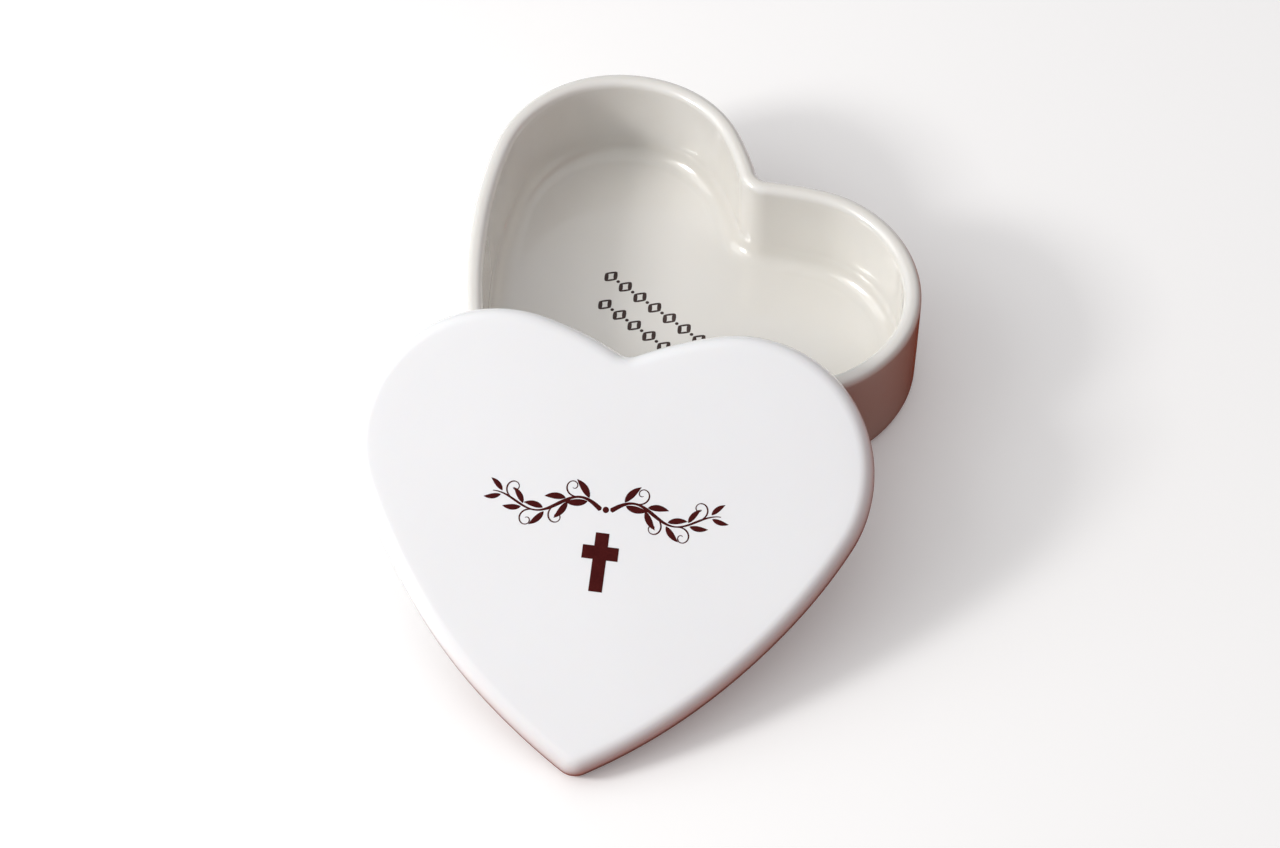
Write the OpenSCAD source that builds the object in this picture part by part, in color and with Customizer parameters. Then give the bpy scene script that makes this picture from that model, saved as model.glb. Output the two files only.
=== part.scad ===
// Heart-shaped keepsake box in glazed ceramic: an open base, and a loose lid that leans on its rim.
// The origin is the middle of the foot, on the surface the box stands on. The notch of the base
// points along +Y and its tip along -Y. The lid stands on its own tip, propped on the base's rim.

/* [Heart outline] */
// Width across both lobes
width = 130; // [108:1:160]
// Length from the top of the lobes to the tip
length = 114.5; // [95:0.5:140]
// Radius of each lobe
lobe_r = 35; // [28:0.5:42]
// Radius of the flatter shoulder between a lobe and the notch
shoulder_r = 90; // [60:1:120]
// Angle from the top of a lobe to the start of its shoulder
shoulder_at = 25.5; // [20:0.5:30]
// Radius inside the notch
notch_r = 4; // [2:0.5:8]
// Radius of the long bulging sides
side_r = 152; // [115:1:260]
// Radius of the tip
tip_r = 5.6; // [4:0.1:9]

/* [Base] */
// Height of the base, from the table to the top of the rim
base_h = 34; // [24:0.5:60]
// Thickness of the base's wall
wall = 4.6; // [3.8:0.1:6]
// Radius of the rounded rim, inside and outside
rim_r = 2.1; // [1:0.1:2.2]
// Height of the inside floor above the table
floor_z = 6.5; // [4:0.5:12]
// Radius where the inside wall runs into the floor
floor_fillet = 5.5; // [2:0.5:6]
// Radius of the inside corner at the tip
well_tip_r = 8.5; // [7.5:0.5:12]
// Radius of the outer edge at the foot
foot_r = 3; // [1:0.5:4]

/* [Lid] */
// Radius of the lid's shoulder, between a lobe and the notch
lid_shoulder_r = 90; // [60:1:120]
// Angle from the top of the lid's lobe to the start of its shoulder
lid_shoulder_at = 14; // [12:0.5:24]
// Radius inside the lid's notch
lid_notch_r = 5; // [2:0.5:8]
// Thickness of the lid at its edge
lid_t = 7.5; // [6:0.1:12]
// Radius of the lid's upper edge
lid_top_r = 4.2; // [1:0.1:4.2]
// Radius of the lid's lower edge
lid_under_r = 1.2; // [0.5:0.1:1.2]
// Depth of the locating flange below the lid's underside
flange_h = 3; // [2:0.1:6]
// Thickness of the locating flange
flange_t = 3.6; // [2:0.1:4.5]
// Clearance between the flange and the inside of the base's wall
flange_gap = 0.9; // [0.4:0.1:1.5]
// Radius of the flange's edges
flange_r = 0.8; // [0.3:0.1:0.9]
// Height of the hollow above the lid's underside
hollow_h = 1.5; // [0.5:0.1:2.5]
// Radius where the flange runs into the hollow
hollow_r = 1.5; // [0.5:0.1:1.5]

/* [Leaning lid] */
// Place of the middle of the lid, right of the base's axis
lean_x = 45; // [42:0.1:48]
// Place of the middle of the lid, from the middle of the base
lean_y = -63; // [-66:0.1:-60]
// Turn of the lid about the vertical, in degrees
lean_turn = 34.9; // [28:0.1:40]
// Sideways tilt of the lid, in degrees
lean_roll = 2.5; // [-2:0.1:4]
// Gap left where the lid touches the rim and the table
touch = 0.25; // [0.1:0.05:0.5]

/* [Printed decoration] */
// Thickness of the fired-on decoration
print_t = 0.2; // [0.1:0.05:0.4]
// Height of the cross
cross_h = 14.7; // [8:0.1:20]
// Length of the cross's arms from end to end
cross_w = 9; // [6:0.1:14]
// Width of the cross's bars
cross_bar = 3.4; // [1.5:0.1:4]
// Drop from the cross's top to the middle of its arms
cross_drop = 5; // [3.5:0.1:7]
// Distance from the middle of the lid to the cross's top, towards the notch
cross_top = 2.2; // [0:0.1:2.4]
// Distance from the middle of the lid to the vine's middle line, towards the notch
vine_y = 8; // [7.5:0.1:12]
// Half the length of the vine, from its middle to its end
vine_half = 27; // [22:0.5:34]
// Height of the vine's waves, either side of its middle line
vine_wave = 2.6; // [1:0.1:3]
// Width of the vine's stem at its thickest
stem_w = 0.9; // [0.5:0.1:1.2]
// Radius of the bud in the vine's middle
bud_r = 0.8; // [0.6:0.1:1]
// Length of a leaf
leaf_l = 5.6; // [3:0.1:6]
// Width of a leaf
leaf_w = 1.9; // [1:0.1:2.5]
// Angle between a leaf and the stem, in degrees
leaf_turn = 42; // [30:1:60]
// Gap between a leaf and the stem
leaf_gap = 0.65; // [0.4:0.05:1]
// Distance between the middles of two lozenges in a row on the floor
lozenge_pitch = 5.4; // [4.5:0.1:6]
// Length of a lozenge across its row
lozenge_l = 4; // [2:0.1:6]
// Width of a lozenge along its row
lozenge_w = 2.2; // [1:0.1:2.6]
// Radius of the dots between the lozenges
dot_r = 0.5; // [0.3:0.1:0.8]
// Lozenges in the upper row
upper_count = 9; // [3:2:9]
// Lozenges in the lower row
lower_count = 7; // [3:2:9]
// Distance between the two rows
row_gap = 8.2; // [6.5:0.1:12]
// Place of the middle between the rows, from the middle of the base
rows_y = 5.3; // [0:0.1:10]

/* [Hidden] */

// Steps along each arc of an outline: notch, shoulder, lobe, side, tip
steps = [8, 4, 16, 10, 8];
// Steps round a quarter turn of an edge
turns = 4;
// Steps along half of the vine's stem
stem_steps = 36;
// Waves in half of the vine
waves = 1.25;
// Share by which the waves die away, and by which the stem thins, towards the vine's end
wave_fade = 0.35;
stem_fade = 0.7;
// Leaf pairs in half of the vine, and how far past the crests and troughs they sit, as a share
leaf_pairs = 5;
leaf_late = 0.02;
// Step along the stem, as a share, over which its heading is taken
stem_step = 0.001;
// Least radius of a tip, and least flat left on the rim between its two rounded edges
least_tip = 0.4;
least_flat = 0.2;
// Slack in degrees where two arcs of an outline meet
slack = 0.01;
// Pieces that each step of the rim is cut into where the lid's fit to it is worked out
rim_cuts = 4;
// Least and greatest pitch that are tried for the leaning lid, and how often the range is halved
pitch_low = 5;
pitch_high = 70;
halvings = 16;
$fn = 48;

// --- Heart outline: tangent arcs about fixed centres, so an inset outline keeps the centres ---

function unit(angle) = [cos(angle), sin(angle)];
function heading(v) = atan2(v[1], v[0]);

// The point at distance r1 from p1 and r2 from p2 that lies to the right, looking from p1 to p2
function crossing(p1, r1, p2, r2) =
    let (gap = norm(p2 - p1), u = (p2 - p1) / gap)
    let (a = (r1 * r1 - r2 * r2 + gap * gap) / (2 * gap))
    p1 + a * u + sqrt(r1 * r1 - a * a) * [u[1], -u[0]];

lobe_c = [width / 2 - lobe_r, length / 2 - lobe_r];
tip_c = [0, tip_r - length / 2];
side_c = crossing(lobe_c, side_r - lobe_r, tip_c, side_r - tip_r);
side_from = heading(lobe_c - side_c);

// The top of an outline, between its lobes, as [shoulder's radius, shoulder's angle, notch's radius]
base_top = [shoulder_r, shoulder_at, notch_r];
lid_top = [lid_shoulder_r, lid_shoulder_at, lid_notch_r];
function shoulder_c(top) = lobe_c - (top[0] - lobe_r) * unit(90 + top[1]);
function notch_c(top) =
    let (middle = shoulder_c(top))
    [0, middle[1] + sqrt(pow(top[0] + top[2], 2) - pow(middle[0], 2))];

// The right half of an outline, clockwise from the notch. Each arc is [centre, radius, first angle,
// last angle, side], and side is -1 where the solid lies outside the arc. The outline lies a
// distance inside the outer one, and its tip has a radius of its own.
function heart(inset, tip, top) =
    let (reach = side_r - inset - tip)
    let (end_c = [0, side_c[1] - sqrt(pow(reach, 2) - pow(side_c[0], 2))])
    let (side_to = heading(end_c - side_c))
    let (notch_turn = 90 + heading(shoulder_c(top) - notch_c(top)))
    [
        [notch_c(top), top[2] + inset, -90, notch_turn - 90, -1],
        [shoulder_c(top), top[0] - inset, notch_turn + 90, 90 + top[1], 1],
        [lobe_c, lobe_r - inset, 90 + top[1], side_from, 1],
        [side_c, side_r - inset, side_from, side_to, 1],
        [end_c, tip, side_to, -90, 1]
    ];

// Outlines that follow an outer face, and outlines that follow the inside wall of the base
function outer(inset, top) = heart(inset, max(tip_r - inset, least_tip), top);
function inner(inset) = heart(inset, max(well_tip_r + wall - inset, least_tip), base_top);

// The points of an outline, all the way round from the notch
function points(arcs) =
    let (right = [
        for (i = [0:4])
            for (k = [0:steps[i] - 1])
                let (a = arcs[i], part = k / steps[i])
                a[0] + a[1] * unit(a[2] + part * (a[3] - a[2]))
    ])
    let (tip = arcs[4][0] - [0, arcs[4][1]])
    concat(right, [tip], [for (i = [len(right) - 1:-1:1]) [-right[i][0], right[i][1]]]);

// How far a point lies inside an outline: negative outside it
function inset_at(arcs, p) =
    let (q = [abs(p[0]), p[1]])
    let (found = [
        for (a = arcs)
            let (v = q - a[0], mid = (a[2] + a[3]) / 2)
            let (off = (heading(v) - mid + 540) % 360 - 180)
            if (abs(off) <= abs(a[3] - a[2]) / 2 + slack) a[4] * (a[1] - norm(v))
    ])
    let (least = min([for (d = found) abs(d)]))
    [for (d = found) if (abs(d) == least) d][0];

// Quarter turn of an edge as [inset, height] pairs, from first_angle, about a centre
function quarter(centre, r, first_angle, way) =
    [for (k = [0:turns]) centre + r * unit(first_angle + way * 90 * k / turns)];

// Rings of points, one for each [inset, height] pair
function ring(arcs, z) = [for (p = points(arcs)) [p[0], p[1], z]];
function at_outer(stations, top) = [for (s = stations) ring(outer(s[0], top), s[1])];
function at_inner(stations) = [for (s = stations) ring(inner(s[0]), s[1])];

// A closed solid through rings of points, from a first middle point to a last one
module loft(first, rings, last) {
    n = len(rings[0]);
    m = len(rings);
    all = concat([first], [for (r = rings) each r], [last]);
    sides = [
        for (j = [0:m - 2])
            for (i = [0:n - 1])
                let (a = 1 + j * n + i, b = 1 + j * n + (i + 1) % n)
                each [[a, b, b + n], [a, b + n, a + n]]
    ];
    start = [for (i = [0:n - 1]) [0, 1 + (i + 1) % n, 1 + i]];
    end = [for (i = [0:n - 1]) [m * n + 1, 1 + (m - 1) * n + i, 1 + (m - 1) * n + (i + 1) % n]];
    polyhedron(all, concat(start, sides, end), convexity = 6);
}

// --- Leaning lid: turned by lean_turn, pitched up at the notch and rolled by lean_roll ---

// Radius of the rim's two edges, and the insets of the lid's flange
rim = min(rim_r, (wall - least_flat) / 2);
root = wall + flange_gap;
bore = root + flange_t;

function rolled(v) =
    [v[0] * cos(lean_roll) + v[2] * sin(lean_roll), v[1], v[2] * cos(lean_roll) - v[0] * sin(lean_roll)];
function pitched(v, pitch) =
    [v[0], v[1] * cos(pitch) - v[2] * sin(pitch), v[1] * sin(pitch) + v[2] * cos(pitch)];
function turned(v) =
    [v[0] * cos(lean_turn) - v[1] * sin(lean_turn), v[0] * sin(lean_turn) + v[1] * cos(lean_turn), v[2]];
function leaned(v, pitch) = turned(pitched(rolled(v), pitch));

// The lowest point of an edge of radius r that runs along a ring of points
function lowest(edge, r, pitch) = min([for (p = edge) leaned(p, pitch)[2]]) - r;

// Height of the lid's middle at which its lower edge, or its flange's, stands on the table
plate_edge = ring(outer(lid_under_r, lid_top), lid_under_r);
flange_edge = ring(inner(root + flange_r), flange_r - flange_h);
function standing(pitch) =
    touch - min(lowest(plate_edge, lid_under_r, pitch), lowest(flange_edge, flange_r, pitch));

// The highest that the middle of a ball may be, under an edge or the face inside it. The edge's own
// middle line is at a height, the ball is that far outside it, and r is the sum of both radii.
function under(off, height, r) = off < r ? height - sqrt(r * r - off * off) : length;
function ceiling(p, r) =
    let (plate = max(-inset_at(outer(lid_under_r, lid_top), p), 0))
    let (root_off = -inset_at(inner(root + flange_r), p), bore_off = inset_at(inner(bore - flange_r), p))
    let (flange = max(root_off, bore_off, 0))
    min(
        under(plate, lid_under_r, r + lid_under_r),
        under(flange, flange_r - flange_h, r + flange_r)
    );

// The middle lines of the rim's outer and inner rounded edges, with each step of them cut finer
function finer(edge) = [
    for (i = [0:len(edge) - 1])
        for (k = [0:rim_cuts - 1])
            edge[i] + (edge[(i + 1) % len(edge)] - edge[i]) * k / rim_cuts
];
rim_edges = concat(
    finer(ring(outer(rim, base_top), base_h - rim)),
    finer(ring(inner(wall - rim), base_h - rim))
);

// Room between the rim and the lid's underside at a pitch, at the tightest place
function room(pitch) =
    let (middle = [lean_x, lean_y, standing(pitch)])
    let (ex = leaned([1, 0, 0], pitch), ey = leaned([0, 1, 0], pitch), ez = leaned([0, 0, 1], pitch))
    min([
        for (p = rim_edges)
            let (d = p - middle)
            ceiling([d * ex, d * ey], rim + touch) - d * ez
    ]);

// The least pitch that clears the rim, by halving
function least_pitch(low, high, times) =
    let (mid = (low + high) / 2)
    times == 0 ? high :
    room(mid) < 0 ? least_pitch(mid, high, times - 1) : least_pitch(low, mid, times - 1);

lean_pitch = least_pitch(pitch_low, pitch_high, halvings);

module leaning() {
    translate([lean_x, lean_y, standing(lean_pitch)])
        rotate(lean_turn)
            rotate([lean_pitch, 0, 0])
                rotate([0, lean_roll, 0])
                    children();
}

// --- Pieces ---

module base() {
    color("ivory")
        loft(
            [0, 0, 0],
            concat(
                at_outer(quarter([foot_r, foot_r], foot_r, -90, -1), base_top),
                at_outer(quarter([rim, base_h - rim], rim, 180, -1), base_top),
                at_inner(quarter([wall - rim, base_h - rim], rim, 90, -1)),
                at_inner(quarter([wall + floor_fillet, floor_z + floor_fillet], floor_fillet, 180, 1))
            ),
            [0, 0, floor_z]
        );
}

// The lid's own frame has its underside at z = 0 and its middle at the origin
module lid() {
    color("white")
        leaning()
            loft(
                [0, 0, lid_t],
                concat(
                    at_outer(quarter([lid_top_r, lid_t - lid_top_r], lid_top_r, 90, 1), lid_top),
                    at_outer(quarter([lid_under_r, lid_under_r], lid_under_r, 180, 1), lid_top),
                    at_inner([[root, 0]]),
                    at_inner(quarter([root + flange_r, flange_r - flange_h], flange_r, 180, 1)),
                    at_inner(quarter([bore - flange_r, flange_r - flange_h], flange_r, -90, 1)),
                    at_inner(quarter([bore + hollow_r, hollow_h - hollow_r], hollow_r, 180, -1))
                ),
                [0, 0, hollow_h]
            );
}

// --- Printed decoration, fired on ---

// The stem's middle line: a wave that dies away towards its end, from the middle outwards
function stem(part) =
    [part * vine_half, vine_wave * sin(360 * waves * part) * (1 - wave_fade * part)];
function stem_heading(part) = heading(stem(part + stem_step) - stem(part - stem_step));

// One edge of the stem, on the side that way gives, from part 0 to part 1
function stem_edge(way) = [
    for (k = [0:stem_steps])
        let (part = k / stem_steps)
        stem(part) + way * stem_w / 2 * (1 - stem_fade * part) * unit(stem_heading(part) + 90)
];

module lozenge(l, w) {
    polygon([[0, l / 2], [w / 2, 0], [0, -l / 2], [-w / 2, 0]]);
}

// A pointed leaf along +X from the origin, between two equal arcs
module leaf() {
    r = (pow(leaf_l, 2) + pow(leaf_w, 2)) / (4 * leaf_w);
    intersection() {
        translate([leaf_l / 2, r - leaf_w / 2])
            circle(r);
        translate([leaf_l / 2, leaf_w / 2 - r])
            circle(r);
    }
}

module vine_half_shape() {
    over = stem_edge(1);
    under = stem_edge(-1);
    polygon(concat(over, [for (k = [stem_steps:-1:0]) under[k]]));
    // A pair of leaves near each quarter wave of the stem, one either side of it
    for (k = [0:leaf_pairs - 1])
        for (way = [1, -1]) {
            part = (0.5 + k) / (4 * waves) + leaf_late;
            translate(stem(part) + way * (stem_w / 2 + leaf_gap) * unit(stem_heading(part) + 90))
                rotate(stem_heading(part) + way * leaf_turn)
                    leaf();
        }
}

module lid_vine() {
    color("saddlebrown")
        leaning()
            translate([0, vine_y, lid_t])
                linear_extrude(print_t) {
                    for (side = [0, 1])
                        mirror([side, 0])
                            translate([bud_r + leaf_gap, 0])
                                vine_half_shape();
                    circle(bud_r);
                }
}

module lid_cross() {
    color("maroon")
        leaning()
            translate([0, cross_top - cross_h, lid_t])
                linear_extrude(print_t) {
                    translate([-cross_bar / 2, 0])
                        square([cross_bar, cross_h]);
                    translate([-cross_w / 2, cross_h - cross_drop - cross_bar / 2])
                        square([cross_w, cross_bar]);
                }
}

// A row of lozenges along X with a dot in each space between them
module ornament_row(count) {
    for (i = [0:count - 1])
        translate([(i - (count - 1) / 2) * lozenge_pitch, 0]) {
            lozenge(lozenge_l, lozenge_w);
            if (i > 0)
                translate([-lozenge_pitch / 2, 0])
                    circle(dot_r);
        }
}

module floor_ornament() {
    color("dimgray")
        translate([0, rows_y, floor_z])
            linear_extrude(print_t)
                for (row = [[1, upper_count], [-1, lower_count]])
                    translate([0, row[0] * row_gap / 2])
                        ornament_row(row[1]);
}

base();
lid();
lid_vine();
lid_cross();
floor_ornament();
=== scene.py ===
"""Looks of the heart-shaped keepsake box: an open base of glazed ceramic and its leaning lid.

Lengths are in metres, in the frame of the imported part. Each shell is a family of heart outlines
carried along a profile, and each fired-on print is a set of thin domed strokes that lie on the glaze.
"""

import logging
import math
from dataclasses import dataclass, field, replace
from enum import Enum

import bpy
import numpy as np
from mathutils import Matrix, Vector


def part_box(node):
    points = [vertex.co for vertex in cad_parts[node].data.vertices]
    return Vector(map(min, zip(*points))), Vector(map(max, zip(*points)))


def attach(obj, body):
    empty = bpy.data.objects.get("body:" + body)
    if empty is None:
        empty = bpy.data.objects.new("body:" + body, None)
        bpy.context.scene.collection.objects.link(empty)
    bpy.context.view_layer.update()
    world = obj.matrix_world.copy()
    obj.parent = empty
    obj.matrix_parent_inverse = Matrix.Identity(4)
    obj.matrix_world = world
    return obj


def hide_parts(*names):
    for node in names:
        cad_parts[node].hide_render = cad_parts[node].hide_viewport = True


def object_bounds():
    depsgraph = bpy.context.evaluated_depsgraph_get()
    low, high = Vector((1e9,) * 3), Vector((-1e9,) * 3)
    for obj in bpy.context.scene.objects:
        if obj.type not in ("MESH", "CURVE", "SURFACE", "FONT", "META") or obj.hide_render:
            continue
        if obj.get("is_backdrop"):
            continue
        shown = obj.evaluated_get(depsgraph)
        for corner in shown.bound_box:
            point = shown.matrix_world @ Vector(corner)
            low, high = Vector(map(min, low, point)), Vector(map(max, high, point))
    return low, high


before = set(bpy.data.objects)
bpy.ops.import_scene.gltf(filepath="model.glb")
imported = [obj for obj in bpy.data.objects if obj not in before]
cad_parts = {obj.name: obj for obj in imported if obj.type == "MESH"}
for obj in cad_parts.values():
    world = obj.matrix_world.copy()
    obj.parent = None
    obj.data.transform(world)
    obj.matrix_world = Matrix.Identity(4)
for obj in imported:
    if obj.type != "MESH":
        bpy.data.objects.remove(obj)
CAD_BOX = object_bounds()

LOG = logging.getLogger("keepsake_box")
MM = 0.001
UP = np.array([0.0, 0.0, 1.0])
Colour = tuple[float, float, float]
Socket = bpy.types.NodeSocket
WHITE: Colour = (1.0, 1.0, 1.0)


class Slot(Enum):
    """The record's material slots."""

    BODY = "body_glaze"
    LID = "lid_glaze"
    SEPIA = "sepia_print"
    GREY = "grey_print"


class Body(Enum):
    """The bodies that move apart."""

    BASE = "base"
    LID = "lid"


class Mask(Enum):
    """What a shell's profile says about its glaze, kept as one number at each vertex."""

    EDGE = "edge"
    POOL = "pool"
    DRY = "dry"


# --------------------------------------------------------------------------------------------------
# Surfaces
# --------------------------------------------------------------------------------------------------


@dataclass
class Skin:
    """A closed surface: points, faces of three or four corners, and one array for each mask."""

    points: np.ndarray
    faces: list[tuple[int, ...]]
    masks: dict[Mask, np.ndarray] = field(default_factory=dict)

    def volume(self) -> float:
        """Signed volume: the sum of the tetrahedra from the origin to each face, fanned."""
        total = 0.0
        for corners in (3, 4):
            rows = np.array([f for f in self.faces if len(f) == corners], int)
            if len(rows):
                a = self.points[rows[:, 0]]
                for k in range(1, corners - 1):
                    cross = np.cross(self.points[rows[:, k]], self.points[rows[:, k + 1]])
                    total += float(np.einsum("ij,ij->", a, cross)) / 6
        return total

    def facing_out(self) -> "Skin":
        """The same surface with its faces turned so that the volume is positive."""
        if self.volume() < 0:
            self.faces = [tuple(reversed(f)) for f in self.faces]
        return self

    def object(self, name: str, material: bpy.types.Material) -> bpy.types.Object:
        """Makes the surface a smooth-shaded Blender object at the origin.

        Args:
            name: the piece's name.
            material: the finish it wears.

        Returns:
            The new object, linked to the scene.
        """
        mesh = bpy.data.meshes.new(name)
        mesh.from_pydata(self.points.tolist(), [], self.faces)
        mesh.polygons.foreach_set("use_smooth", np.ones(len(mesh.polygons), bool))
        for mask, values in self.masks.items():
            layer = mesh.attributes.new(mask.value, "FLOAT", "POINT")
            layer.data.foreach_set("value", values.astype(np.float32))
        mesh.materials.append(material)
        mesh.update()
        made = bpy.data.objects.new(name, mesh)
        bpy.context.scene.collection.objects.link(made)
        return made


def skin(rings: np.ndarray, first: np.ndarray, last: np.ndarray) -> Skin:
    """Closes a grid of rings into a surface.

    The point at row j and column i is rings[j, i]. Columns wrap round, and a pole closes each end.

    Args:
        rings: rows of ring points, shaped (rows, columns, 3).
        first: the pole before the first ring.
        last: the pole after the last ring.

    Returns:
        The closed surface, its faces outwards.
    """
    rows, columns = rings.shape[:2]
    points = np.concatenate([rings.reshape(-1, 3), first[None], last[None]])
    column = np.arange(columns)
    beside = (column + 1) % columns
    a = (np.arange(rows - 1)[:, None] * columns + column).ravel()
    b = (np.arange(rows - 1)[:, None] * columns + beside).ravel()
    sides = np.stack([a, b, b + columns, a + columns], -1)
    start = np.stack([np.full(columns, rows * columns), beside, column], -1)
    top = (rows - 1) * columns
    end = np.stack([np.full(columns, rows * columns + 1), top + column, top + beside], -1)
    faces = [tuple(f) for part in (sides, start, end) for f in part.tolist()]
    return Skin(points, faces).facing_out()


def joined(parts: list[Skin]) -> Skin:
    """Several surfaces as one, with each later one's faces counted on from the points before it."""
    starts = np.cumsum([0] + [len(p.points) for p in parts[:-1]])
    faces = [tuple(int(c + s) for c in f) for p, s in zip(parts, starts) for f in p.faces]
    return Skin(np.concatenate([p.points for p in parts]), faces)


def unit(degrees: np.ndarray | float) -> np.ndarray:
    """The unit vector at an angle, in the plane."""
    return np.stack([np.cos(np.radians(degrees)), np.sin(np.radians(degrees))], -1)


@dataclass(frozen=True)
class Hand:
    """The slight unevenness of a cast and glazed shape: a smooth shift that depends on place.

    Along each axis the shift is the reach times the mean of a few sine waves of the place.
    """

    reach: float = 0.16 * MM
    wave: float = 46 * MM
    phase: float = 0.7

    def shift(self, points: np.ndarray) -> np.ndarray:
        """The shift at each point, shaped as the points are."""
        turn = 2 * math.pi / self.wave
        x, y, z = (points[..., i] * turn for i in range(3))
        p = self.phase
        along_x = np.sin(y + 0.6 * z + p) + np.sin(0.53 * x - 0.8 * y + 2.1 * p)
        along_y = np.sin(x - 0.4 * z + 1.7 * p) + np.sin(0.71 * y + 0.45 * x + 3.3 * p)
        along_z = np.sin(0.83 * x + 0.4 * y + 0.9 * p) + np.sin(0.9 * y - 0.35 * x + 2.6 * p)
        return self.reach / 2 * np.stack([along_x, along_y, along_z], -1)

    def applied(self, points: np.ndarray, floor: float, full: float) -> np.ndarray:
        """The points after the shift, whose upright part fades in between two heights."""
        moved = self.shift(points)
        share = np.clip((points[..., 2] - floor) / (full - floor), 0, 1)
        moved[..., 2] *= share
        return points + moved


# --------------------------------------------------------------------------------------------------
# The heart and what follows it
# --------------------------------------------------------------------------------------------------


@dataclass(frozen=True)
class HeartOutline:
    """A heart of tangent arcs about fixed centres: notch, shoulder, lobe, side and tip, mirrored.

    An outline that lies inside the outer one keeps the centres and changes the radii, so the family
    of outlines stays parallel.
    """

    width: float
    length: float
    shoulder_at: float
    notch_r: float
    shoulder_r: float = 90 * MM
    lobe_r: float = 35 * MM
    side_r: float = 152 * MM
    tip_r: float = 5.6 * MM
    well_tip_r: float = 8.5 * MM
    wall: float = 4.6 * MM
    least_tip: float = 0.4 * MM
    steps: tuple[int, ...] = (22, 18, 60, 76, 24)

    @property
    def lobe(self) -> np.ndarray:
        """Centre of the right lobe."""
        return np.array([self.width / 2 - self.lobe_r, self.length / 2 - self.lobe_r])

    @property
    def side(self) -> np.ndarray:
        """Centre of the right side's long arc: where circles about the lobe and tip cross."""
        tip = np.array([0, self.tip_r - self.length / 2])
        gap = np.linalg.norm(tip - self.lobe)
        along = (tip - self.lobe) / gap
        near, far = self.side_r - self.lobe_r, self.side_r - self.tip_r
        reach = (near**2 - far**2 + gap**2) / (2 * gap)
        return self.lobe + reach * along + math.sqrt(near**2 - reach**2) * np.array([along[1], -along[0]])

    @property
    def shoulder(self) -> np.ndarray:
        """Centre of the right shoulder's arc, in line with the lobe's where they meet."""
        return self.lobe - (self.shoulder_r - self.lobe_r) * unit(90 + self.shoulder_at)

    @property
    def notch(self) -> np.ndarray:
        """Centre of the notch's arc, on the middle line."""
        x, y = self.shoulder
        return np.array([0, y + math.sqrt((self.shoulder_r + self.notch_r) ** 2 - x**2)])

    def rings(self, inset: np.ndarray, inner: np.ndarray) -> np.ndarray:
        """Outlines, one for each station.

        Args:
            inset: how far each outline lies inside the outer one.
            inner: true where the outline follows the well's inside wall, whose tip is rounder.

        Returns:
            Points clockwise from the notch, shaped (stations, points, 2).
        """
        inset = np.asarray(inset, float)[:, None]
        round_tip = np.where(inner, self.well_tip_r + self.wall, self.tip_r)[:, None]
        tip = np.maximum(round_tip - inset, self.least_tip)
        reach = self.side_r - inset - tip
        end_y = self.side[1] - np.sqrt(reach**2 - self.side[0] ** 2)
        side_from = np.degrees(np.arctan2(*(self.lobe - self.side)[::-1]))
        side_to = np.degrees(np.arctan2(end_y - self.side[1], -self.side[0]))
        turn = 90 + np.degrees(np.arctan2(*(self.shoulder - self.notch)[::-1]))
        tops = [
            (self.notch, self.notch_r + inset, -90, turn - 90),
            (self.shoulder, self.shoulder_r - inset, turn + 90, 90 + self.shoulder_at),
            (self.lobe, self.lobe_r - inset, 90 + self.shoulder_at, side_from),
            (self.side, self.side_r - inset, side_from, side_to),
            (None, tip, side_to, -90),
        ]
        arcs = []
        for (centre, r, first, last), count in zip(tops, self.steps):
            share = np.arange(count) / count
            arc = r[..., None] * unit(first + share * (last - first))
            if centre is None:
                arc[..., 1] += end_y
            else:
                arc = arc + centre
            arcs.append(np.broadcast_to(arc, (len(inset), count, 2)))
        right = np.concatenate(arcs, 1)
        point = np.stack([np.zeros_like(end_y), end_y - tip], -1)
        left = right[:, :0:-1] * [-1, 1]
        return np.concatenate([right, point, left], 1)


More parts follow.
